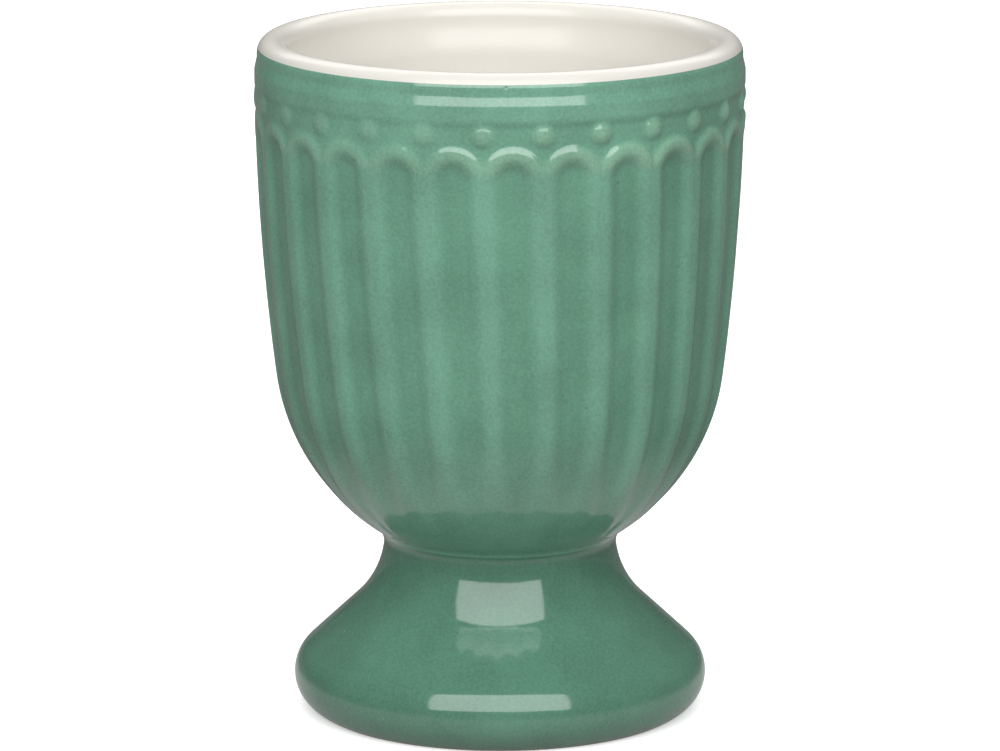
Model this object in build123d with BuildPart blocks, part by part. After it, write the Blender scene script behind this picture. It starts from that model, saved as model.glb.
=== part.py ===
"""Glazed earthenware egg cup: a fluted bowl luted with slip to a hollow foot.

Millimetres, +Z up, origin on the axis at the level that the foot ring stands on.
Outlines are half sections: x is the distance from the axis and y is the height.
Round stretches of the turned outlines are stepped by formula, so their bands are plain cones.
"""
import os
from math import acos, asin, atan2, cos, degrees, hypot, radians, sin, sqrt

from build123d import *

# ---- bowl ------------------------------------------------------------------------------
height = 67.5                 # lip crest above the table
rim_radius = 24.1             # widest point of the wall, on the plain band under the lip
band_depth = 3.1              # how far below the crest that point is
shoulder_inset = 1.74         # ball of the underside, smaller in radius than the rim
lip_thickness = 3.0           # rounded lip
lip_set_in = 0.2              # how far the lip stands inside the widest point
lip_cone_count = 4            # cones that step the round of the lip
underside_cone_count = 4      # cones that step the ball of the underside
upper_cone_count = 2          # cones that step the wall above the ball

# ---- egg well --------------------------------------------------------------------------
well_wall = 3.9               # clay between the straight well and the widest point
well_lift = 1.6               # centre of the round of the well, above that of the ball
well_cone_count = 3           # cones that step that round
floor_thickness = 3.7         # clay under the flat floor of the well
mouth_depth = 4.0             # how far below the crest the well starts to open

# ---- joint and foot --------------------------------------------------------------------
joint_height = 17.7           # flat underside of the bowl, where it is luted to the foot
joint_radius = 11.46          # its radius
slip_thickness = 0.4          # slip in that joint
neck_radius = 11.5            # narrowest point of the foot, at the joint
neck_level = 8.1              # lowest level of the hollow round of the neck
neck_cone_count = 5           # cones that step that round
foot_radius = 20.55           # widest point of the foot
foot_edge_round = 3.8         # round of the edge of the foot
foot_edge_turn = 64.0         # degrees that it turns in underneath
edge_cone_count = 5           # cones that step that round
foot_wall = 3.2               # clay between the cone of the foot and the hollow
ring_width = 2.2              # flat ring that the cup stands on
roof_thickness = 4.5          # clay over the flat roof of the hollow

# ---- flutes and beads ------------------------------------------------------------------
flute_count = 26
flute_turn = 3.0              # degrees from the front to the middle of the nearest flute
flute_round = 2.9             # radius of the hollow section of a flute
flute_depth = 0.55            # below the ridges, where a flute is full
flute_end_depth = 0.1         # where it fades out at the joint
flute_overrun = 3.0           # degrees that the gouge runs on past the joint
gouge_bend_count = 3          # bends of the gouge on the ball of the underside
fade_lean = 30.0              # degrees that the wall leans where a flute starts to fade
arch_depth = 10.2             # how far below the crest the centres of the round arches are
arch_sides = 10               # flats of a full circle in those arches
bead_depth = 5.9              # how far below the crest the beads are, over the ridges
bead_radius = 1.15            # half of a bead from corner to corner
bead_rise = 0.22              # how far it stands out of the wall
bead_bevel = 0.5              # how far its bevel runs in from the side
bead_root = 0.3               # how far it is rooted in the clay
bead_sides = 6                # flats round a bead

# ---- worked out from them --------------------------------------------------------------
pitch = 360 / flute_count
flute_angle = flute_turn - 90
ridge_angle = flute_angle + pitch / 2
flute_half_width = sqrt(flute_round**2 - (flute_round - flute_depth) ** 2)
arch_height = height - arch_depth
bead_height = height - bead_depth

# The underside is part of a ball. The wall above it is one long arc, tangent to the ball.
ball_radius = rim_radius - shoulder_inset
ball_height = joint_height + sqrt(ball_radius**2 - joint_radius**2)
long_rise = height - band_depth - ball_height
long_radius = (rim_radius**2 + long_rise**2 - ball_radius**2) / (2 * shoulder_inset)
long_centre = (rim_radius - long_radius, height - band_depth)
shoulder_lean = degrees(asin(long_rise / (long_radius - ball_radius)))
joint_lean = degrees(acos(joint_radius / ball_radius))

lip_round = lip_thickness / 2
lip_centre = (rim_radius - lip_set_in - lip_round, height - lip_round)
well_radius = rim_radius - well_wall
well_floor = joint_height + floor_thickness
well_centre = (0, ball_height + well_lift)
well_turn = degrees(asin((well_centre[1] - well_floor) / well_radius))

# The foot is a straight cone, tangent to the round of its edge and the hollow round of its neck.
foot_top = joint_height - slip_thickness
neck_round = joint_height - neck_level
edge_centre = (foot_radius - foot_edge_round, foot_edge_round * sin(radians(foot_edge_turn)))
neck_centre = (neck_radius + neck_round, joint_height)
rounds_apart = (neck_centre[0] - edge_centre[0], neck_centre[1] - edge_centre[1])
rounds_turn = acos((foot_edge_round + neck_round) / hypot(*rounds_apart))
foot_lean = degrees(atan2(rounds_apart[1], rounds_apart[0]) - rounds_turn)
neck_turn = degrees(asin(slip_thickness / neck_round))
lean_cos, lean_sin = cos(radians(foot_lean)), sin(radians(foot_lean))
hollow_offset = edge_centre[0] * lean_cos + edge_centre[1] * lean_sin + foot_edge_round - foot_wall
hollow_height = foot_top - roof_thickness
ring_inner = edge_centre[0] + foot_edge_round * cos(radians(foot_edge_turn)) - ring_width


def steps(start, end, count):
    """Return count + 1 evenly spaced values from start to end."""
    return [start + (end - start) * i / count for i in range(count + 1)]


def round_points(centre, radius, start, end, count):
    """Return points along a round of an outline, between two angles in degrees."""
    angles = [radians(angle) for angle in steps(start, end, count)]
    return [(centre[0] + radius * cos(a), centre[1] + radius * sin(a)) for a in angles]


def wall_point(inset, lean):
    """Return the point inset mm inside the ridges, where the wall leans lean degrees."""
    centre, radius = long_centre, long_radius
    if lean > shoulder_lean:
        centre, radius = (0, ball_height), ball_radius
    return round_points(centre, radius - inset, -lean, -lean, 1)[0]


def wall_lean(level):
    """Return the lean of the upper wall at a level, in degrees."""
    return degrees(asin((long_centre[1] - level) / long_radius))


def flute_depth_at(lean):
    """Return the depth of a flute where the wall leans lean degrees."""
    fade = max(0, (lean - fade_lean) / (joint_lean - fade_lean))
    return flute_depth + fade * (flute_end_depth - flute_depth)


def sector_plane(angle):
    """Return the upright half-section plane that stands at an angle about the axis."""
    return Plane.XZ.rotated((0, 0, angle))


def front_plane(angle):
    """Return the upright plane through the axis that faces outwards at an angle."""
    return Plane(origin=(0, 0, 0), x_dir=sector_plane(angle + 90).x_dir, z_dir=sector_plane(angle).x_dir)


# ---- one flute: a round gouge is run down the wall, under a round arch -------------------
gouge_leans = [wall_lean(arch_height), shoulder_lean / 2]
gouge_leans += steps(shoulder_lean, joint_lean + flute_overrun, gouge_bend_count)
gouge_path = [wall_point(flute_depth_at(lean) - flute_round, lean) for lean in gouge_leans]

with BuildPart() as flute_cutter:
    with BuildLine(sector_plane(flute_angle)) as gouge_line:
        Polyline(*gouge_path)
    with BuildSketch(Plane(gouge_line.line @ 0, z_dir=gouge_line.line % 0)) as gouge_section:
        Circle(flute_round)
    sweep(transition=Transition.RIGHT)
    extrude(gouge_section.sketch, amount=-2 * flute_round)
    with BuildSketch(front_plane(flute_angle)):
        with Locations((0, arch_height)):
            RegularPolygon(flute_half_width, arch_sides)
        with Locations((0, arch_height - height / 2)):
            Rectangle(2 * flute_round, height)
    extrude(amount=2 * rim_radius, mode=Mode.INTERSECT)

# ---- one bead: a low stud with a bevelled edge, rooted in the clay -----------------------
bead_face = wall_point(0, wall_lean(bead_height))[0]
bead_plane = Plane(origin=(bead_face - bead_root, 0, bead_height), x_dir=(0, 1, 0), z_dir=(1, 0, 0))

with BuildPart() as bead:
    with BuildSketch(bead_plane):
        RegularPolygon(bead_radius, bead_sides)
    extrude(amount=bead_root + bead_rise)
    chamfer(bead.faces().sort_by(Axis.X)[-1].edges(), length=bead_rise, length2=bead_bevel)

# ---- pieces ----------------------------------------------------------------------------
wall_leans = steps(joint_lean, shoulder_lean, underside_cone_count)
wall_leans += steps(shoulder_lean, 0, upper_cone_count)[1:]
wall_outside = [wall_point(0, lean) for lean in wall_leans]
lip = round_points(lip_centre, lip_round, 0, 180, lip_cone_count)
well = [(well_radius, height - mouth_depth)]
well += round_points(well_centre, well_radius, 0, -well_turn, well_cone_count)

with BuildPart() as bowl:
    with BuildSketch(sector_plane(ridge_angle)):
        with BuildLine():
            Polyline((0, joint_height), *wall_outside, *lip, *well, (0, well_floor), close=True)
        make_face()
    revolve(axis=Axis.Z)
    with PolarLocations(0, flute_count):
        add(flute_cutter.part, mode=Mode.SUBTRACT)
    with PolarLocations(0, flute_count, start_angle=ridge_angle):
        add(bead.part)

foot_outside = round_points(edge_centre, foot_edge_round, -foot_edge_turn, foot_lean, edge_cone_count)
foot_outside += round_points(neck_centre, neck_round, 180 + foot_lean, 180 + neck_turn, neck_cone_count)
foot_hollow = [
    (0, hollow_height),
    ((hollow_offset - hollow_height * lean_sin) / lean_cos, hollow_height),
    (ring_inner, (hollow_offset - ring_inner * lean_cos) / lean_sin),
    (ring_inner, 0),
]

with BuildPart() as luting_slip:
    with BuildSketch(sector_plane(ridge_angle)):
        with BuildLine():
            Polyline((0, foot_top), foot_outside[-1], wall_outside[0], (0, joint_height), close=True)
        make_face()
    revolve(axis=Axis.Z)

with BuildPart() as foot:
    with BuildSketch(sector_plane(ridge_angle)):
        with BuildLine():
            Polyline(*foot_outside, (0, foot_top), *foot_hollow, close=True)
        make_face()
    revolve(axis=Axis.Z)

# ---- files -----------------------------------------------------------------------------
bowl.part.label = "bowl"
luting_slip.part.label = "luting_slip"
foot.part.label = "foot"

os.makedirs("parts", exist_ok=True)
export_step(bowl.part, "parts/bowl.step")
export_step(luting_slip.part, "parts/luting_slip.step")
export_step(foot.part, "parts/foot.step")
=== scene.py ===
"""Egg cup: a fluted and beaded bowl on a hollow foot, glazed green outside and white inside.

Metres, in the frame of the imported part: +Z up, the foot ring at zero, -Y towards the camera.
Half sections are lists of points: distance from the axis, height, and how much relief they carry.
They run with the outside on their left, so that the turned faces look outwards.
"""

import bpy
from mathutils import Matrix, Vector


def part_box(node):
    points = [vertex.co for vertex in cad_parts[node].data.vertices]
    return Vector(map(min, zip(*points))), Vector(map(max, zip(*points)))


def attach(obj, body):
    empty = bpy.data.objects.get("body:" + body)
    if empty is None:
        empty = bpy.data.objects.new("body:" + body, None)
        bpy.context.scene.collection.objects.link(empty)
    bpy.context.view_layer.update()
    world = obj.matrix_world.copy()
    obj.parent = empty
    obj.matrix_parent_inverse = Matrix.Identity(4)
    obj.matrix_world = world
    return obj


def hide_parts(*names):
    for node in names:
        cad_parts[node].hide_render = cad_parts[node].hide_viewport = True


bl_info = {
    "name": "Egg Cup",
    "version": (1, 0, 0),
    "blender": (4, 5, 0),
    "location": "3D View > Sidebar > Egg Cup",
    "description": "Models and glazes a fluted earthenware egg cup",
    "category": "Add Mesh",
}

from math import acos, asin, atan2, ceil, cos, hypot, pi, radians, sin, sqrt

import bpy
from bpy.props import FloatProperty, FloatVectorProperty, IntProperty, PointerProperty
from mathutils import Vector

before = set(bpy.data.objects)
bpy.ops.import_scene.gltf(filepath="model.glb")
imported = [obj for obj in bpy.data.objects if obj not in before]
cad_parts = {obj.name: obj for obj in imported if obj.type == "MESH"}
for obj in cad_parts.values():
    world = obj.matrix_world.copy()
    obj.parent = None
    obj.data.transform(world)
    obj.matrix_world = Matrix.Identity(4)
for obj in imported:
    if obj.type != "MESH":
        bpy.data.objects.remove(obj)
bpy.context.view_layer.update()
bowl_low, bowl_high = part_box("bowl")
foot_low, foot_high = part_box("foot")


# Spacing of the points of the half sections, in metres.
JOINT_ROW = 0.0001  # round the crease
BAND_ROW = 0.00016  # up the plain band
FINE_ROW = 0.0002  # across the arches and beads, and round the lip
FOOT_ROW = 0.0003  # down the foot
COAT_ROW = 0.0004  # down the mouth, and under the white glaze
HIDDEN_ROW = 0.0005  # on the clay under it
BALL_ROW = 0.0006  # on the ball of the underside
WALL_ROW = 0.0008  # up the fluted wall
WELL_ROW = 0.0012  # down the well

FLOOR_CORNER = 0.002  # round between the well and its floor
MOUTH_SHARE = 1.3  # height over which the mouth flares, as a share of the lip
MERGE = 1e-7  # closes seams and poles
SHARP = 0.8  # corners that turn by more than this stay sharp, in radians


def linear(code):
    """Return the linear colour of an sRGB hex code."""
    parts = [int(code[i : i + 2], 16) / 255 for i in (1, 3, 5)]
    return tuple(c / 12.92 if c <= 0.04045 else ((c + 0.055) / 1.055) ** 2.4 for c in parts)


def length(name, description, default):
    """Return a property that holds a length in metres."""
    return FloatProperty(name=name, description=description, default=default, precision=5, unit="LENGTH")


def number(name, description, default):
    """Return a property that holds a plain number."""
    return FloatProperty(name=name, description=description, default=default, precision=3)


def turn(name, description, default):
    """Return a property that holds an angle, given in degrees."""
    return FloatProperty(name=name, description=description, default=radians(default), unit="ROTATION")


def colour(name, description, code):
    """Return a property that holds a linear colour, given as sRGB hex."""
    return FloatVectorProperty(
        name=name, description=description, default=linear(code), subtype="COLOR", min=0, max=1
    )


# ---- sizes and colours that a user would change ----------------------------------------


class EggCupBowl(bpy.types.PropertyGroup):
    """Sizes of the bowl and its egg well."""

    crest: length("Crest", "Height of the lip above the table", bowl_high.z)
    joint: length("Joint", "Height of the joint between bowl and foot", bowl_low.z)
    joint_radius: length("Joint Radius", "Radius of the bowl at the joint", 0.01146)
    rim_radius: length("Rim Radius", "Widest point of the wall, on the plain band", 0.0241)
    band_depth: length("Band Depth", "How far below the crest that point is", 0.0031)
    shoulder_inset: length("Shoulder Inset", "Ball of the underside, smaller than the rim", 0.00174)
    lip: length("Lip", "Thickness of the rounded lip", 0.003)
    lip_set_in: length("Lip Set In", "How far the lip stands inside the widest point", 0.00025)
    roll_in: length("Roll In", "Height over which the plain band rolls in to the lip", 0.0011)
    well_wall: length("Well Wall", "Clay between the egg well and the widest point", 0.0039)
    well_lift: length("Well Lift", "Centre of the well's round above that of the ball", 0.0016)
    floor: length("Floor", "Clay under the flat floor of the well", 0.0037)
    lining: length("Lining", "Thickness of the white glaze", 0.0003)
    turndown: length("Turndown", "How far the white glaze runs down outside", 0.00095)
    columns: IntProperty(name="Columns", description="Faces round the bowl", default=546, min=26)


class EggCupRelief(bpy.types.PropertyGroup):
    """Sizes of the flutes, arches and beads."""

    flutes: IntProperty(name="Flutes", description="Flutes round the bowl", default=26, min=3)
    flute_turn: turn("Flute Turn", "From the front to the middle of the nearest flute", 3)
    flute_side: length("Flute Side", "Width of the rounded side of a flute", 0.00155)
    flute_drift: turn("Flute Drift", "How far the flutes drift round on their way down", 3.4)
    half_width: length("Half Width", "Half the width of a full flute", 0.0019)
    depth: length("Depth", "Depth of a full flute", 0.0005)
    end_depth: length("End Depth", "Depth of a flute at the joint", 0.00003)
    fade_height: length("Fade Height", "Level where the flutes start to fade out", 0.0315)
    arch_depth: length("Arch Depth", "Centres of the arches below the crest", 0.0102)
    border: length("Border", "Width of the raised border round an arch", 0.0012)
    border_rise: length("Border Rise", "How far the border stands over the ridges", 0.00008)
    ground: length("Ground", "Depth of the sunk ground behind the beads", 0.00022)
    ground_depth: length("Ground Depth", "Upper edge of that ground below the crest", 0.0048)
    bead_depth: length("Bead Depth", "Beads below the crest", 0.0059)
    bead_radius: length("Bead Radius", "Radius of a bead", 0.00115)
    bead_rise: length("Bead Rise", "How far a bead stands out of the ground", 0.00038)
    flood: number("Flood", "Share of the relief left where the glaze is thick", 0.5)
    softness: length("Softness", "How far the glaze rounds the edges of the relief", 0.00045)


class EggCupFoot(bpy.types.PropertyGroup):
    """Sizes of the foot and the slip in the joint."""

    radius: length("Radius", "Widest point of the foot", 0.02055)
    edge_round: length("Edge Round", "Round of the edge of the foot", 0.0038)
    edge_turn: turn("Edge Turn", "How far that edge turns in underneath", 64)
    top: length("Top", "Height of the foot under the slip", foot_high.z)
    neck_radius: length("Neck Radius", "Narrowest point of the foot, at the joint", 0.0115)
    neck_round: length("Neck Round", "Hollow round of the neck", 0.0096)
    crease: length("Crease", "Round of the glaze that fills the crease", 0.002)
    ring: length("Ring", "Width of the ring that the cup stands on", 0.0022)
    wall: length("Wall", "Clay between the cone and the hollow", 0.0032)
    roof: length("Roof", "Clay over the hollow", 0.0045)
    softening: length("Softening", "Round that the sponge leaves on each corner", 0.0006)
    wiped: length("Wiped", "Height of the ring wiped clean of glaze", 0.00012)
    columns: IntProperty(name="Columns", description="Faces round the foot", default=256, min=12)


class EggCupGlaze(bpy.types.PropertyGroup):
    """Colours of the glazes and the clay."""

    thin: colour("Thin Green", "Green glaze where it runs thin, over edges and beads", "#86b096")
    green: colour("Green", "Green glaze over the plain clay", "#75a78f")
    pooled: colour("Pooled Green", "Green glaze where it pools, in the flutes", "#66987f")
    # Painted shade: the foot's and the joint's green is darker, standing in for the shade that the bowl casts
    # on them.
    painted_shade_green: colour("Deep Green", "Green glaze on the foot, where the dip leaves it thicker", "#55826d")
    white: colour("White", "White glaze", "#dfdcd4")
    clay: colour("Clay", "Bare biscuit clay", "#ddd2bd")


class EggCupStudio(bpy.types.PropertyGroup):
    """The photographer's side."""

    distance: length("Distance", "Camera to the middle of the cup", 0.6)
    aim: length("Aim", "Height that the camera looks at", 0.0334)
    elevation: turn("Elevation", "How far the camera looks down", 12.3)
    lens: number("Lens", "Focal length on the camera's own sensor, in millimetres", 217.8)
    box_distance: length("Box Distance", "Lower edge of the softbox from the cup", 0.9)
    box_width: length("Box Width", "Width of the softbox", 1.46)
    box_low: turn("Box Low", "Elevation of its lower edge", 15)
    box_high: turn("Box High", "Elevation of its upper edge", 67)
    box_height: length("Box Height", "Height of its upper edge", 1.35)
    box_glow: number("Box Glow", "Radiance of the softbox", 2.95)
    back_low: turn("Back Low", "Elevation of the lower edge of the one behind", 32)
    back_glow: number("Back Glow", "Radiance of the one behind", 1.5)
    fill: number("Fill", "Radiance of the walls as they light the cup", 0.28)
    ceiling: number("Ceiling", "Radiance straight above, as it lights the cup", 0.5)
    mirrored: number("Mirrored", "Radiance of the room in the gloss", 0.1)
    floor: colour("Floor", "Pale floor", "#f6f6f5")
    floor_lift: number("Floor Lift", "Glow that makes the floor white to the camera", 0.45)
    floor_bounce: number("Floor Bounce", "Share of light that the floor gives back", 0.2)
    # A pool of painted light under the cup: the floor there bounces more light and glows in the gloss, with
    # no lamp to light it.
    painted_pool_bounce: number("Pool Bounce", "Share of light that the paper under the cup gives back", 0.42)
    painted_pool_glow: number("Pool Shine", "Glow of that paper in the gloss", 0.22)
    pool: length("Pool", "Radius of the bright paper under the cup", 0.03)
    floor_size: length("Floor Size", "Side of the floor", 2.4)


# ---- half sections ---------------------------------------------------------------------


def steps(start, end, spacing):
    """Return evenly spaced values from start to end, at most spacing apart."""
    count = max(1, ceil(abs(end - start) / spacing))
    return [start + (end - start) * i / count for i in range(count + 1)]


def arc(centre, radius, start, end, spacing, relief=0.0):
    """Return section points along an arc between two angles."""
    angles = steps(start, end, spacing / radius)
    return [(centre[0] + radius * cos(a), centre[1] + radius * sin(a), relief) for a in angles]


def corner(before, at, after, round_off):
    """Return section points that round off the corner at a point."""
    here, points = Vector(at), []
    start = here + (Vector(before) - here).normalized() * round_off
    end = here + (Vector(after) - here).normalized() * round_off
    for t in steps(0, 1, 0.2):
        point = start * (1 - t) ** 2 + here * 2 * t * (1 - t) + end * t**2
        points.append((point.x, point.y, 0.0))
    return points


def ease(t):
    """Return the smooth step of t."""
    t = min(max(t, 0), 1)
    return t * t * (3 - 2 * t)


def wall_shape(bowl):
    """Return the ball and the long arc of the bowl's wall, each as a centre and a radius."""
    ball = bowl.rim_radius - bowl.shoulder_inset
    ball_centre = (0, bowl.joint + sqrt(ball**2 - bowl.joint_radius**2))
    widest = bowl.crest - bowl.band_depth
    rise = widest - ball_centre[1]
    long = (bowl.rim_radius**2 + rise**2 - ball**2) / (2 * bowl.shoulder_inset)
    return ball_centre, ball, (bowl.rim_radius - long, widest), long


def wall_points(bowl, relief, foot):
    """Return the outside of the bowl, from the joint to the foot of the lip."""
    ball_centre, ball, long_centre, long = wall_shape(bowl)
    centre, high, _ = crease_round(foot, bowl)
    joint_lean = pi - high
    shoulder_lean = asin((long_centre[1] - ball_centre[1]) / (long - ball))
    fine_low = bowl.crest - relief.arch_depth - 1.5 * relief.half_width
    fine_high = bowl.crest - relief.ground_depth + 2 * relief.softness
    fine_lean, high_lean = (asin((long_centre[1] - level) / long) for level in (fine_low, fine_high))
    points = arc(centre, foot.crease, pi + asin((centre[1] - bowl.joint) / foot.crease), high, JOINT_ROW)
    points += arc(ball_centre, ball, -joint_lean, -shoulder_lean, BALL_ROW, 1.0)[1:]
    points += arc(long_centre, long, -shoulder_lean, -fine_lean, WALL_ROW, 1.0)[1:]
    points += arc(long_centre, long, -fine_lean, -high_lean, FINE_ROW, 1.0)[1:]
    for z in steps(fine_high, bowl.crest - bowl.lip / 2, BAND_ROW)[1:]:
        rolled = min(max((z - long_centre[1]) / bowl.roll_in, 0), 1)
        points.append((bowl.rim_radius - bowl.lip_set_in * rolled, z, 0.0))
    return points


def well_points(bowl, inset):
    """Return the inside of the bowl from the lip to the axis, inset into the clay."""
    ball_centre = wall_shape(bowl)[0]
    well = bowl.rim_radius - bowl.well_wall
    centre = (0, ball_centre[1] + bowl.well_lift)
    floor = bowl.joint + bowl.floor
    lip_inner = bowl.rim_radius - bowl.lip_set_in - bowl.lip
    mouth_top = bowl.crest - bowl.lip / 2
    mouth_low = mouth_top - MOUTH_SHARE * bowl.lip
    points = []
    for z in steps(mouth_top, mouth_low, COAT_ROW)[1:]:
        flare = (lip_inner - well) * ease((z - mouth_low) / (mouth_top - mouth_low))
        points.append((well + flare + inset, z, 0.0))
    turn_down = asin((centre[1] - floor) / well)
    points += arc(centre, well + inset, 0, -turn_down, WELL_ROW)
    edge, middle = (points[-1][0], floor - inset), (0, floor - inset)
    rounded = corner(points[-3][:2], edge, middle, FLOOR_CORNER)
    return points[:-2] + rounded + [(*middle, 0.0)]


def lip_shape(bowl):
    """Return the centre and radius of the lip, and the angle where the white glaze ends outside."""
    radius = bowl.lip / 2
    centre = (bowl.rim_radius - bowl.lip_set_in - radius, bowl.crest - radius)
    return centre, radius, asin((radius - bowl.turndown) / radius)


def bowl_section(bowl, relief, foot):
    """Return the half section of the green bowl, under the white lining."""
    centre, radius, border = lip_shape(bowl)
    points = [(0, bowl.joint, 0.0)] + wall_points(bowl, relief, foot)
    points += arc(centre, radius, 0, border, FINE_ROW)[1:]
    points += arc(centre, radius - bowl.lining, border, pi, HIDDEN_ROW)
    return (points + well_points(bowl, bowl.lining))[::-1]


def lining_section(bowl):
    """Return the half section of the white lining, from the floor over the lip and back."""
    centre, radius, border = lip_shape(bowl)
    seen = well_points(bowl, 0)[::-1] + arc(centre, radius, pi, border, FINE_ROW)
    under = arc(centre, radius - bowl.lining, border, pi, COAT_ROW) + well_points(bowl, bowl.lining)
    return seen + under


def crease_round(foot, bowl):
    """Return the centre of the round of glaze in the crease, and its ends on the ball and the neck."""
    ball_centre, ball, _, _ = wall_shape(bowl)
    neck = (foot.neck_radius + foot.neck_round, bowl.joint)
    apart = (neck[0] - ball_centre[0], neck[1] - ball_centre[1])
    gap = hypot(*apart)
    from_ball, from_neck = ball + foot.crease, foot.neck_round - foot.crease
    along = (gap**2 + from_ball**2 - from_neck**2) / (2 * gap)
    aside = sqrt(from_ball**2 - along**2)
    centre = (
        ball_centre[0] + (along * apart[0] + aside * apart[1]) / gap,
        ball_centre[1] + (along * apart[1] - aside * apart[0]) / gap,
    )
    high = atan2(ball_centre[1] - centre[1], ball_centre[0] - centre[0])
    low = atan2(centre[1] - neck[1], centre[0] - neck[0])
    return centre, high, low % (2 * pi)


def foot_section(foot, bowl):
    """Return the half section of the hollow foot."""
    edge = (foot.radius - foot.edge_round, foot.edge_round * sin(foot.edge_turn))
    neck = (foot.neck_radius + foot.neck_round, bowl.joint)
    apart = (neck[0] - edge[0], neck[1] - edge[1])
    lean = atan2(apart[1], apart[0]) - acos((foot.edge_round + foot.neck_round) / hypot(*apart))
    centre, _, low = crease_round(foot, bowl)
    outside = arc(centre, foot.crease, pi + asin((centre[1] - foot.top) / foot.crease), low, JOINT_ROW)
    outside += arc(neck, foot.neck_round, low, pi + lean, FOOT_ROW)[1:]
    outside += arc(edge, foot.edge_round, lean, -foot.edge_turn, FOOT_ROW)
    offset = edge[0] * cos(lean) + edge[1] * sin(lean) + foot.edge_round - foot.wall
    ring_outer = outside[-1][0]
    ring_inner = ring_outer - foot.ring
    roof = foot.top - foot.roof
    roof_edge = ((offset - roof * sin(lean)) / cos(lean), roof)
    knee = (ring_inner, (offset - ring_inner * cos(lean)) / sin(lean))
    soft = foot.softening
    hollow = corner((ring_outer, 0), (ring_inner, 0), knee, soft)
    hollow += corner((ring_inner, 0), knee, roof_edge, 4 * soft)
    hollow += corner(knee, roof_edge, (0, roof), 4 * soft)
    return [(0, foot.top, 0.0)] + outside + hollow + [(0, roof, 0.0)]


def slip_section(foot, bowl):
    """Return the half section of the slip, whose edge is part of the round in the crease."""
    centre = crease_round(foot, bowl)[0]
    ends = [pi + asin((centre[1] - level) / foot.crease) for level in (bowl.joint, foot.top)]
    return [(0, bowl.joint, 0.0)] + arc(centre, foot.crease, *ends, JOINT_ROW) + [(0, foot.top, 0.0)]


# ---- node trees ------------------------------------------------------------------------


def add(tree, kind, settings=None, inputs=None):
    """Add a node with its settings, and link or set its inputs."""
    node = tree.nodes.new(kind)
    for name, value in (settings or {}).items():
        setattr(node, name, value)
    for socket, value in (inputs or {}).items():
        if isinstance(value, bpy.types.NodeSocket):
            tree.links.new(value, node.inputs[socket])
        else:
            node.inputs[socket].default_value = value
    return node


def open_tree(name, sockets):
    """Start a geometry tree with a geometry input and output and the named inputs."""
    tree = bpy.data.node_groups.new(name, "GeometryNodeTree")
    tree.interface.new_socket("Geometry", in_out="OUTPUT", socket_type="NodeSocketGeometry")
    tree.interface.new_socket("Geometry", in_out="INPUT", socket_type="NodeSocketGeometry")
    for socket, kind in sockets.items():
        tree.interface.new_socket(socket, in_out="INPUT", socket_type=kind)
    return tree, add(tree, "NodeGroupInput").outputs


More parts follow.
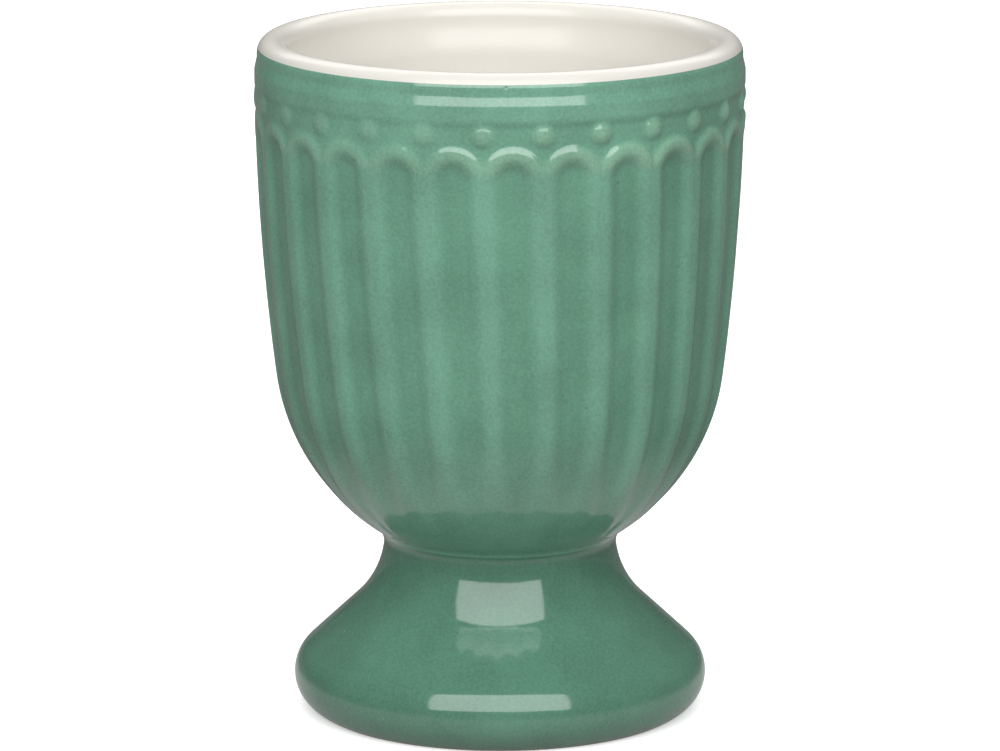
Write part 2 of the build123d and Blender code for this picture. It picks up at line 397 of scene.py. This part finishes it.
def turned_tree():
    """Return the tree that turns a half section about the upright axis into a closed form."""
    tree, given = open_tree("Turned Form", {"Columns": "NodeSocketInt", "Glaze": "NodeSocketMaterial"})
    size = add(tree, "GeometryNodeAttributeDomainSize", None, {"Geometry": given["Geometry"]})
    last = add(tree, "ShaderNodeMath", {"operation": "SUBTRACT"}, {0: size.outputs["Point Count"], 1: 1})
    drum = add(
        tree,
        "GeometryNodeMeshCylinder",
        {"fill_type": "NONE"},
        {"Vertices": given["Columns"], "Side Segments": last.outputs[0], "Radius": 1, "Depth": 1},
    )
    index = add(tree, "GeometryNodeInputIndex")
    half = add(tree, "ShaderNodeMath", {"operation": "ADD"}, {0: index.outputs[0], 1: 0.5})
    share = add(tree, "ShaderNodeMath", {"operation": "DIVIDE"}, {0: half.outputs[0], 1: given["Columns"]})
    row = add(tree, "ShaderNodeMath", {"operation": "FLOOR"}, {0: share.outputs[0]})
    place = add(tree, "GeometryNodeInputPosition")
    section = add(
        tree,
        "GeometryNodeSampleIndex",
        {"data_type": "FLOAT_VECTOR"},
        {"Geometry": given["Geometry"], "Value": place.outputs[0], "Index": row.outputs[0]},
    )
    marked = add(tree, "GeometryNodeInputNamedAttribute", {"data_type": "FLOAT"}, {"Name": "relief"})
    relief = add(
        tree,
        "GeometryNodeSampleIndex",
        {"data_type": "FLOAT"},
        {"Geometry": given["Geometry"], "Value": marked.outputs[0], "Index": row.outputs[0]},
    )
    around = add(tree, "ShaderNodeSeparateXYZ", None, {0: place.outputs[0]})
    outline = add(tree, "ShaderNodeSeparateXYZ", None, {0: section.outputs[0]})
    x = add(tree, "ShaderNodeMath", {"operation": "MULTIPLY"}, {0: around.outputs[0], 1: outline.outputs[0]})
    y = add(tree, "ShaderNodeMath", {"operation": "MULTIPLY"}, {0: around.outputs[1], 1: outline.outputs[0]})
    turned = add(
        tree, "ShaderNodeCombineXYZ", None, {0: x.outputs[0], 1: y.outputs[0], 2: outline.outputs[2]}
    )
    marked_drum = add(
        tree,
        "GeometryNodeStoreNamedAttribute",
        {"data_type": "FLOAT"},
        {"Geometry": drum.outputs[0], "Name": "relief", "Value": relief.outputs[0]},
    )
    formed = add(
        tree, "GeometryNodeSetPosition", None, {0: marked_drum.outputs[0], "Position": turned.outputs[0]}
    )
    closed = add(tree, "GeometryNodeMergeByDistance", None, {0: formed.outputs[0], "Distance": MERGE})
    smooth = add(tree, "GeometryNodeSetShadeSmooth", None, {0: closed.outputs[0]})
    # Corners stay sharp, so that the joint and the edge of the white glaze shade cleanly.
    angle = add(tree, "GeometryNodeInputMeshEdgeAngle").outputs["Unsigned Angle"]
    corners = add(tree, "ShaderNodeMath", {"operation": "GREATER_THAN"}, {0: angle, 1: SHARP})
    creased = add(
        tree,
        "GeometryNodeSetShadeSmooth",
        {"domain": "EDGE"},
        {"Geometry": smooth.outputs[0], "Selection": corners.outputs[0], "Shade Smooth": False},
    )
    real = add(tree, "GeometryNodeRealizeInstances", None, {0: creased.outputs[0]})
    glazed = add(tree, "GeometryNodeSetMaterial", None, {0: real.outputs[0], "Material": given["Glaze"]})
    add(tree, "NodeGroupOutput", None, {0: glazed.outputs[0]})
    return tree


def relief_tree():
    """Return the tree that flutes, arches and beads a turned wall."""
    sockets = {
        "Flutes": "NodeSocketInt",
        "Flute Turn": "NodeSocketFloat",
        "Flute Drift": "NodeSocketFloat",
        "Half Width": "NodeSocketFloat",
        "Flute Side": "NodeSocketFloat",
        "Depth": "NodeSocketFloat",
        "End Depth": "NodeSocketFloat",
        "Joint Level": "NodeSocketFloat",
        "Fade Level": "NodeSocketFloat",
        "Arch Level": "NodeSocketFloat",
        "Border": "NodeSocketFloat",
        "Border Rise": "NodeSocketFloat",
        "Ground": "NodeSocketFloat",
        "Ground Level": "NodeSocketFloat",
        "Bead Level": "NodeSocketFloat",
        "Bead Radius": "NodeSocketFloat",
        "Bead Rise": "NodeSocketFloat",
        "Flood": "NodeSocketFloat",
        "Softness": "NodeSocketFloat",
        "Glaze": "NodeSocketMaterial",
    }
    tree, given = open_tree("Flutes and Beads", sockets)

    def calc(operation, a, b=0.0, c=0.0):
        """Return one step of arithmetic."""
        return add(tree, "ShaderNodeMath", {"operation": operation}, {0: a, 1: b, 2: c}).outputs[0]

    def soft(value, start, end, low=0.0, high=1.0):
        """Return a smooth step from low to high as value goes from start to end."""
        inputs = {"Value": value, 1: start, 2: end, 3: low, 4: high}
        return add(tree, "ShaderNodeMapRange", {"interpolation_type": "SMOOTHSTEP"}, inputs).outputs[0]

    def span(a, b):
        """Return the length of two distances at right angles."""
        vector = add(tree, "ShaderNodeCombineXYZ", None, {0: a, 1: b}).outputs[0]
        return add(tree, "ShaderNodeVectorMath", {"operation": "LENGTH"}, {0: vector}).outputs["Value"]

    place = add(tree, "GeometryNodeInputPosition").outputs[0]
    x, y, z = add(tree, "ShaderNodeSeparateXYZ", None, {0: place}).outputs
    angle = calc("ARCTAN2", y, x)
    down = calc("SUBTRACT", given["Arch Level"], z)
    run = calc("SUBTRACT", given["Arch Level"], given["Joint Level"])
    drift = calc("MULTIPLY", given["Flute Drift"], calc("DIVIDE", calc("MAXIMUM", down, 0), run))
    from_flute = calc("SUBTRACT", calc("SUBTRACT", angle, given["Flute Turn"]), drift)
    part_turn = calc("MULTIPLY", from_flute, calc("DIVIDE", given["Flutes"], 2 * pi))
    part = calc("ABSOLUTE", calc("WRAP", part_turn, 0.5, -0.5))
    pitch = calc("DIVIDE", calc("MULTIPLY", span(x, y), 2 * pi), given["Flutes"])
    aside = calc("MULTIPLY", part, pitch)
    off_ridge = calc("MULTIPLY", calc("SUBTRACT", 0.5, part), pitch)

    # A flute is shallower and narrower towards the joint, and has a round arch at its top.
    depth = soft(z, given["Joint Level"], given["Fade Level"], given["End Depth"], given["Depth"])
    narrowing = calc("SQRT", calc("DIVIDE", depth, given["Depth"]))
    half_width = calc("MULTIPLY", given["Half Width"], narrowing)
    above = calc("MAXIMUM", calc("MULTIPLY", down, -1), 0)
    edge = calc("SUBTRACT", span(aside, above), half_width)
    flute = soft(edge, given["Softness"], calc("SUBTRACT", given["Softness"], given["Flute Side"]))

    # Above the arches the ground is sunk, up to the plain band, and leaves a border round each arch.
    border_low = calc("SUBTRACT", given["Border"], given["Softness"])
    border_high = calc("ADD", given["Border"], given["Softness"])
    over_arch = soft(above, 0, given["Border"])
    outside_border = calc("MULTIPLY", soft(edge, border_low, border_high), over_arch)
    ground_low = calc("SUBTRACT", given["Ground Level"], given["Softness"])
    ground_high = calc("ADD", given["Ground Level"], given["Softness"])
    sunk = calc("MULTIPLY", outside_border, soft(z, ground_high, ground_low))
    crown = calc("MULTIPLY", calc("SUBTRACT", 1, outside_border), calc("SUBTRACT", 1, flute))
    raised = calc("MULTIPLY", crown, over_arch)

    # The beads stand over the ridges between the arches.
    reach = calc("DIVIDE", span(off_ridge, calc("SUBTRACT", z, given["Bead Level"])), given["Bead Radius"])
    dome = calc("POWER", calc("MAXIMUM", calc("SUBTRACT", 1, calc("MULTIPLY", reach, reach)), 0), 0.8)

    # The glaze ran to the left in the dip and floods the relief there, a little unevenly.
    uneven = add(tree, "ShaderNodeTexNoise", None, {"Vector": place, "Scale": 70, "Detail": 1}).outputs[0]
    lean = calc("ADD", calc("DIVIDE", x, span(x, y)), calc("MULTIPLY", calc("SUBTRACT", uneven, 0.5), 3))
    crisp = soft(lean, -1, 1, given["Flood"], 1)

    # The flutes are flooded about half as much as the beads, borders and ground.
    fine = calc("MULTIPLY", dome, given["Bead Rise"])
    fine = calc("SUBTRACT", fine, calc("MULTIPLY", sunk, given["Ground"]))
    fine = calc("ADD", fine, calc("MULTIPLY", raised, given["Border Rise"]))
    fluting = calc("MULTIPLY", calc("MULTIPLY", flute, depth), calc("MULTIPLY_ADD", crisp, 0.6, 0.4))
    height = calc("SUBTRACT", calc("MULTIPLY", fine, crisp), fluting)
    mark = add(tree, "GeometryNodeInputNamedAttribute", {"data_type": "FLOAT"}, {"Name": "relief"})
    height = calc("MULTIPLY", height, mark.outputs[0])
    normal = add(tree, "GeometryNodeInputNormal").outputs[0]
    move = add(tree, "ShaderNodeVectorMath", {"operation": "SCALE"}, {0: normal, "Scale": height}).outputs[0]

    # The finish reads these: how far the surface lies in or out in mm, and where the glaze runs thin.
    lines = calc("MULTIPLY", calc("MAXIMUM", dome, raised), crisp)
    stored = add(
        tree,
        "GeometryNodeStoreNamedAttribute",
        {"data_type": "FLOAT"},
        {"Geometry": given["Geometry"], "Name": "height", "Value": calc("MULTIPLY", height, 1000)},
    )
    stored = add(
        tree,
        "GeometryNodeStoreNamedAttribute",
        {"data_type": "FLOAT"},
        {"Geometry": stored.outputs[0], "Name": "thin", "Value": calc("MULTIPLY", lines, mark.outputs[0])},
    )
    moved = add(tree, "GeometryNodeSetPosition", None, {0: stored.outputs[0], "Offset": move})
    real = add(tree, "GeometryNodeRealizeInstances", None, {0: moved.outputs[0]})
    glazed = add(tree, "GeometryNodeSetMaterial", None, {0: real.outputs[0], "Material": given["Glaze"]})
    add(tree, "NodeGroupOutput", None, {0: glazed.outputs[0]})
    return tree


def run_trees(name, section, runs):
    """Run geometry trees in turn over a half section and return the plain mesh as an object."""
    source = bpy.data.meshes.new(f"{name}_section")
    points = [(r, 0, z) for r, z, _ in section]
    source.from_pydata(points, [(i, i + 1) for i in range(len(points) - 1)], [])
    relief = source.attributes.new("relief", "FLOAT", "POINT")
    relief.data.foreach_set("value", [mark for _, _, mark in section])
    piece = bpy.data.objects.new(name, source)
    bpy.context.scene.collection.objects.link(piece)
    for tree, values in runs:
        modifier = piece.modifiers.new(tree.name, "NODES")
        modifier.node_group = tree
        for item in tree.interface.items_tree:
            if item.in_out == "INPUT" and item.name in values:
                modifier[item.identifier] = values[item.name]
    made = bpy.data.meshes.new_from_object(piece.evaluated_get(bpy.context.evaluated_depsgraph_get()))
    made.name = name
    piece.modifiers.clear()
    piece.data = made
    bpy.data.meshes.remove(source)
    return piece


# ---- glazes ----------------------------------------------------------------------------


def finish_shader(tree, shader):
    """Put a shader on the material's output."""
    add(tree, "ShaderNodeOutputMaterial", None, {"Surface": shader.outputs[0]})


def new_material(name):
    """Start a node material with an empty tree."""
    material = bpy.data.materials.new(name)
    material.use_nodes = True
    material.node_tree.nodes.clear()
    return material, material.node_tree


def green_glaze(name, colours, body, wiped=None):
    """Gloss lead-free glaze, dipped and fired.

    The eye sees a clear gloss over a soft green that is paler where it runs off edges and deeper
    where it pools, with a fine mottle of pigment, a very slight wave and a few pinholes.
    """
    material, tree = new_material(name)
    place = add(tree, "ShaderNodeTexCoord").outputs["Object"]
    height = add(tree, "ShaderNodeAttribute", {"attribute_name": "height"}).outputs["Fac"]
    thin = add(tree, "ShaderNodeAttribute", {"attribute_name": "thin"}).outputs["Fac"]
    pooled = add(tree, "ShaderNodeMapRange", None, {"Value": height, 1: 0, 2: -0.5, 3: 0, 4: 1})
    base = add(
        tree,
        "ShaderNodeMix",
        {"data_type": "RGBA"},
        {0: pooled.outputs[0], 6: (*body, 1), 7: (*colours.pooled, 1)},
    )
    edges = add(
        tree, "ShaderNodeMix", {"data_type": "RGBA"}, {0: thin, 6: base.outputs[2], 7: (*colours.thin, 1)}
    )
    # Pigment specks are about 0.3 mm apart, which is about as fine as the render can show.
    mottle = add(tree, "ShaderNodeTexNoise", None, {"Vector": place, "Scale": 3400, "Detail": 2})
    cloud = add(tree, "ShaderNodeTexNoise", None, {"Vector": place, "Scale": 160, "Detail": 2})
    both = add(
        tree, "ShaderNodeMath", {"operation": "ADD"}, {0: mottle.outputs["Fac"], 1: cloud.outputs["Fac"]}
    )
    shade = add(tree, "ShaderNodeMapRange", None, {"Value": both.outputs[0], 1: 0.6, 2: 1.4, 3: 0.8, 4: 1.18})
    mottled = add(
        tree,
        "ShaderNodeVectorMath",
        {"operation": "SCALE"},
        {0: edges.outputs[2], "Scale": shade.outputs[0]},
    )
    # A pinhole is where the middle of a 4 mm cell meets the surface. They are few, 0.2 to 0.4 mm wide.
    cells = add(tree, "ShaderNodeTexVoronoi", None, {"Vector": place, "Scale": 250, "Randomness": 1})
    pin = add(tree, "ShaderNodeMapRange", None, {"Value": cells.outputs["Distance"], 1: 0.02, 2: 0.05})
    pitted = add(
        tree,
        "ShaderNodeMix",
        {"data_type": "RGBA"},
        {0: pin.outputs[0], 6: (*colours.pooled, 1), 7: mottled.outputs[0]},
    )
    wave = add(tree, "ShaderNodeTexNoise", None, {"Vector": place, "Scale": 300, "Detail": 1})
    swell = add(
        tree,
        "ShaderNodeBump",
        None,
        {"Strength": 0.12, "Distance": 0.0002, "Height": wave.outputs["Fac"]},
    )
    hollow = add(
        tree,
        "ShaderNodeBump",
        None,
        {"Strength": 0.5, "Distance": 0.0001, "Height": pin.outputs[0], "Normal": swell.outputs[0]},
    )
    glaze = add(
        tree,
        "ShaderNodeBsdfPrincipled",
        None,
        {
            "Base Color": pitted.outputs[2],
            "Roughness": 0.09,
            "IOR": 1.7,
            "Normal": hollow.outputs[0],
        },
    )
    if wiped is None:
        finish_shader(tree, glaze)
        return material
    # The ring that the cup stands on is wiped clean before firing, down to matt biscuit clay.
    level = add(tree, "ShaderNodeSeparateXYZ", None, {0: place}).outputs[2]
    bare = add(tree, "ShaderNodeMapRange", None, {"Value": level, 1: 1.3 * wiped, 2: wiped})
    grain = add(tree, "ShaderNodeTexNoise", None, {"Vector": place, "Scale": 3000, "Detail": 3})
    tone = add(
        tree,
        "ShaderNodeMix",
        {"data_type": "RGBA"},
        {0: grain.outputs["Fac"], 6: (*colours.clay, 1), 7: (*(0.85 * c for c in colours.clay), 1)},
    )
    clay = add(
        tree, "ShaderNodeBsdfPrincipled", None, {"Base Color": tone.outputs[2], "Roughness": 0.85}
    )
    shaders = {0: bare.outputs[0], 1: glaze.outputs[0], 2: clay.outputs[0]}
    finish_shader(tree, add(tree, "ShaderNodeMixShader", None, shaders))
    return material


def white_glaze(colours):
    """Opaque white gloss glaze: warm white with a faint cloud and a soft wave in its gloss."""
    material, tree = new_material("white_gloss_glaze")
    place = add(tree, "ShaderNodeTexCoord").outputs["Object"]
    cloud = add(tree, "ShaderNodeTexNoise", None, {"Vector": place, "Scale": 120, "Detail": 3})
    shade = add(tree, "ShaderNodeMapRange", None, {"Value": cloud.outputs["Fac"], 3: 0.97, 4: 1.02})
    tone = add(
        tree,
        "ShaderNodeVectorMath",
        {"operation": "SCALE"},
        {0: tuple(colours.white), "Scale": shade.outputs[0]},
    )
    wave = add(tree, "ShaderNodeTexNoise", None, {"Vector": place, "Scale": 250, "Detail": 1})
    swell = add(
        tree,
        "ShaderNodeBump",
        None,
        {"Strength": 0.1, "Distance": 0.0002, "Height": wave.outputs["Fac"]},
    )
    glaze = add(
        tree,
        "ShaderNodeBsdfPrincipled",
        None,
        {"Base Color": tone.outputs[0], "Roughness": 0.22, "IOR": 1.5, "Normal": swell.outputs[0]},
    )
    finish_shader(tree, glaze)
    return material


# ---- operators -------------------------------------------------------------------------


class EGGCUP_OT_bowl(bpy.types.Operator):
    """Turn, flute and bead the green bowl"""

    bl_idname = "eggcup.bowl"
    bl_label = "Bowl"

    def execute(self, context):
        scene = context.scene
        bowl, relief = scene.egg_cup_bowl, scene.egg_cup_relief
        colours = scene.egg_cup_glaze
        glaze = green_glaze("green_gloss_glaze", colours, colours.green)
        values = {
            "Flutes": relief.flutes,
            "Flute Turn": relief.flute_turn - pi / 2,
            "Flute Drift": relief.flute_drift,
            "Half Width": relief.half_width,
            "Flute Side": relief.flute_side,
            "Depth": relief.depth,
            "End Depth": relief.end_depth,
            "Joint Level": bowl.joint,
            "Fade Level": relief.fade_height,
            "Arch Level": bowl.crest - relief.arch_depth,
            "Border": relief.border,
            "Border Rise": relief.border_rise,
            "Ground": relief.ground,
            "Ground Level": bowl.crest - relief.ground_depth,
            "Bead Level": bowl.crest - relief.bead_depth,
            "Bead Radius": relief.bead_radius,
            "Bead Rise": relief.bead_rise,
            "Flood": relief.flood,
            "Softness": relief.softness,
            "Glaze": glaze,
        }
        turned = (turned_tree(), {"Columns": bowl.columns, "Glaze": glaze})
        section = bowl_section(bowl, relief, scene.egg_cup_foot)
        piece = run_trees("green_bowl", section, [turned, (relief_tree(), values)])
        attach(piece, "root")
        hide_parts("bowl")
        return {"FINISHED"}


class EGGCUP_OT_lining(bpy.types.Operator):
    """Turn the white lining that runs over the lip"""

    bl_idname = "eggcup.lining"
    bl_label = "White Lining"

    def execute(self, context):
        scene = context.scene
        values = {"Columns": scene.egg_cup_foot.columns, "Glaze": white_glaze(scene.egg_cup_glaze)}
        piece = run_trees("white_lining", lining_section(scene.egg_cup_bowl), [(turned_tree(), values)])
        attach(piece, "root")
        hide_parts("bowl")
        return {"FINISHED"}


class EGGCUP_OT_foot(bpy.types.Operator):
    """Turn the hollow foot"""

    bl_idname = "eggcup.foot"
    bl_label = "Foot"

    def execute(self, context):
        scene = context.scene
        foot, colours = scene.egg_cup_foot, scene.egg_cup_glaze
        # The foot's green carries painted shade for the bowl's shadow over it.
        glaze = green_glaze("green_gloss_glaze_wiped", colours, colours.painted_shade_green, foot.wiped)
        values = {"Columns": foot.columns, "Glaze": glaze}
        piece = run_trees("green_foot", foot_section(foot, scene.egg_cup_bowl), [(turned_tree(), values)])
        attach(piece, "root")
        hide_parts("foot")
        return {"FINISHED"}


class EGGCUP_OT_slip(bpy.types.Operator):
    """Turn the slip that luted the bowl to the foot"""

    bl_idname = "eggcup.slip"
    bl_label = "Luting Slip"

    def execute(self, context):
        scene = context.scene
        foot, colours = scene.egg_cup_foot, scene.egg_cup_glaze
        # The slip's green carries the same painted shade as the foot.
        glaze = green_glaze("green_glaze_in_the_joint", colours, colours.painted_shade_green)
        values = {"Columns": foot.columns, "Glaze": glaze}
        piece = run_trees("glazed_joint", slip_section(foot, scene.egg_cup_bowl), [(turned_tree(), values)])
        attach(piece, "root")
        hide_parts("luting_slip")
        return {"FINISHED"}


class EGGCUP_OT_stage(bpy.types.Operator):
    """Set the pale floor, the softboxes, the room and the camera"""

    bl_idname = "eggcup.stage"
    bl_label = "Stage"

    def execute(self, context):
        scene = context.scene
        studio = scene.egg_cup_studio
        lay_floor(scene, studio)
        hang_softbox(scene, studio, "softbox", -1, studio.box_low, studio.box_glow)
        hang_softbox(scene, studio, "back_softbox", 1, studio.back_low, studio.back_glow)
        paint_room(scene, studio)
        place_camera(scene, studio)
        scene.view_settings.view_transform = "Standard"
        return {"FINISHED"}


def lay_floor(scene, studio):
    """Lay the floor, just under the ring: white to the camera, but for the cup's shadow."""
    material, tree = new_material("pale_floor")
    rays = add(tree, "ShaderNodeLightPath").outputs
    seen = rays["Is Camera Ray"]

    # Under the cup the floor carries a pool of painted light: it bounces more light onto the underside, and
    # glows in the underside's gloss as a painted reflection.
    place = add(tree, "ShaderNodeTexCoord").outputs["Object"]
    away = add(tree, "ShaderNodeVectorMath", {"operation": "LENGTH"}, {0: place}).outputs["Value"]
    fade = {"Value": away, 1: studio.pool, 2: 2 * studio.pool, 3: 1, 4: 0}
    near = add(tree, "ShaderNodeMapRange", None, fade).outputs[0]
    glossy = {0: rays["Is Glossy Ray"], 1: near}
    shine = add(tree, "ShaderNodeMath", {"operation": "MULTIPLY"}, glossy).outputs[0]
    shone = {0: shine, 1: studio.painted_pool_glow}
    shine = add(tree, "ShaderNodeMath", {"operation": "MULTIPLY"}, shone).outputs[0]
    lifted = {0: seen, 1: studio.floor_lift, 2: shine}
    lift = add(tree, "ShaderNodeMath", {"operation": "MULTIPLY_ADD"}, lifted)

    dim, bright = (
        (*(share * c for c in studio.floor), 1) for share in (studio.floor_bounce, studio.painted_pool_bounce)
    )
    bounce = add(tree, "ShaderNodeMix", {"data_type": "RGBA"}, {0: near, 6: dim, 7: bright})
    whole = {0: seen, 6: bounce.outputs[2], 7: (*studio.floor, 1)}
    tone = add(tree, "ShaderNodeMix", {"data_type": "RGBA"}, whole)
    paper = add(
        tree,
        "ShaderNodeBsdfPrincipled",
        None,
        {
            "Base Color": tone.outputs[2],
            "Roughness": 1,
            "Specular IOR Level": 0,
            "Emission Color": (1, 1, 1, 1),
            "Emission Strength": lift.outputs[0],
        },
    )
    finish_shader(tree, paper)
    half = studio.floor_size / 2
    mesh = bpy.data.meshes.new("floor")
    corners = [(-half, -half, 0), (half, -half, 0), (half, half, 0), (-half, half, 0)]
    mesh.from_pydata(corners, [], [(0, 1, 2, 3)])
    mesh.materials.append(material)
    floor = bpy.data.objects.new("floor", mesh)
    floor.location.z = -0.00002
    scene.collection.objects.link(floor)


def hang_softbox(scene, studio, name, side, elevation, glow):
    """Hang a large softbox in front of the cup (side -1) or behind it (side 1), from low to high."""
    low = Vector((0, side * studio.box_distance, studio.aim + studio.box_distance * sin(elevation)))
    reach = (studio.box_height - studio.aim) / sin(studio.box_high) * cos(studio.box_high)
    high = Vector((0, side * reach, studio.box_height))
    lamp = bpy.data.lights.new(name, "AREA")
    lamp.shape = "RECTANGLE"
    lamp.size, lamp.size_y = studio.box_width, (high - low).length
    lamp.energy = glow * pi * lamp.size * lamp.size_y
    box = bpy.data.objects.new(name, lamp)
    box.location = (low + high) / 2
    facing = Vector((-side, 0, 0)).cross(high - low).normalized()
    box.rotation_euler = facing.to_track_quat("Z", "Y").to_euler()
    box.visible_camera = False
    scene.collection.objects.link(box)


def paint_room(scene, studio):
    """Paint the room: white to the camera, dim in the gloss, and brighter above than beside the cup."""
    world = bpy.data.worlds.new("pale_room")
    scene.world = world
    world.use_nodes = True
    tree = world.node_tree
    tree.nodes.clear()
    rays = add(tree, "ShaderNodeLightPath").outputs
    direction = add(tree, "ShaderNodeTexCoord").outputs["Generated"]
    up = add(tree, "ShaderNodeSeparateXYZ", None, {0: direction}).outputs[2]
    above = add(
        tree, "ShaderNodeMapRange", None, {"Value": up, 1: 0.3, 2: 1, 3: studio.fill, 4: studio.ceiling}
    )
    dull = add(
        tree,
        "ShaderNodeMix",
        {"data_type": "FLOAT"},
        {0: rays["Is Glossy Ray"], 2: above.outputs[0], 3: studio.mirrored},
    )
    seen = add(
        tree,
        "ShaderNodeMath",
        {"operation": "MAXIMUM"},
        {0: rays["Is Camera Ray"], 1: rays["Is Transmission Ray"]},
    )
    glow = add(tree, "ShaderNodeMix", {"data_type": "FLOAT"}, {0: seen.outputs[0], 2: dull.outputs[0], 3: 1})
    light = add(tree, "ShaderNodeBackground", None, {"Color": (1, 1, 1, 1), "Strength": glow.outputs[0]})
    add(tree, "ShaderNodeOutputWorld", None, {"Surface": light.outputs[0]})


def place_camera(scene, studio):
    """Place the camera in front of the cup, at the photograph's angle."""
    back = Vector((0, -cos(studio.elevation), sin(studio.elevation)))
    camera = bpy.data.cameras.new("camera")
    camera.lens = studio.lens
    camera.clip_start = 0.01
    view = bpy.data.objects.new("camera", camera)
    view.location = Vector((0, 0, studio.aim)) + back * studio.distance
    view.rotation_euler = back.to_track_quat("Z", "Y").to_euler()
    scene.collection.objects.link(view)
    scene.camera = view


class EGGCUP_PT_panel(bpy.types.Panel):
    """Lists the pieces of the egg cup and the stage"""

    bl_label = "Egg Cup"
    bl_idname = "EGGCUP_PT_panel"
    bl_space_type = "VIEW_3D"
    bl_region_type = "UI"
    bl_category = "Egg Cup"

    def draw(self, context):
        for operator in OPERATORS:
            self.layout.operator(operator.bl_idname)
        for name in SETTINGS:
            settings = getattr(context.scene, name)
            box = self.layout.box()
            for field in settings.bl_rna.properties:
                if field.identifier not in ("rna_type", "name"):
                    box.prop(settings, field.identifier)


SETTINGS = {
    "egg_cup_bowl": EggCupBowl,
    "egg_cup_relief": EggCupRelief,
    "egg_cup_foot": EggCupFoot,
    "egg_cup_glaze": EggCupGlaze,
    "egg_cup_studio": EggCupStudio,
}
OPERATORS = (EGGCUP_OT_bowl, EGGCUP_OT_lining, EGGCUP_OT_slip, EGGCUP_OT_foot, EGGCUP_OT_stage)


def register():
    """Register the settings, the operators and the panel."""
    for name, settings in SETTINGS.items():
        bpy.utils.register_class(settings)
        setattr(bpy.types.Scene, name, PointerProperty(type=settings))
    for operator in OPERATORS:
        bpy.utils.register_class(operator)
    bpy.utils.register_class(EGGCUP_PT_panel)


def unregister():
    """Take them away again."""
    bpy.utils.unregister_class(EGGCUP_PT_panel)
    for operator in reversed(OPERATORS):
        bpy.utils.unregister_class(operator)
    for name, settings in SETTINGS.items():
        delattr(bpy.types.Scene, name)
        bpy.utils.unregister_class(settings)


def main():
    """Make the cup and its stage."""
    register()
    bpy.ops.eggcup.bowl()
    bpy.ops.eggcup.lining()
    bpy.ops.eggcup.slip()
    bpy.ops.eggcup.foot()
    bpy.ops.eggcup.stage()


if __name__ == "__main__":
    main()
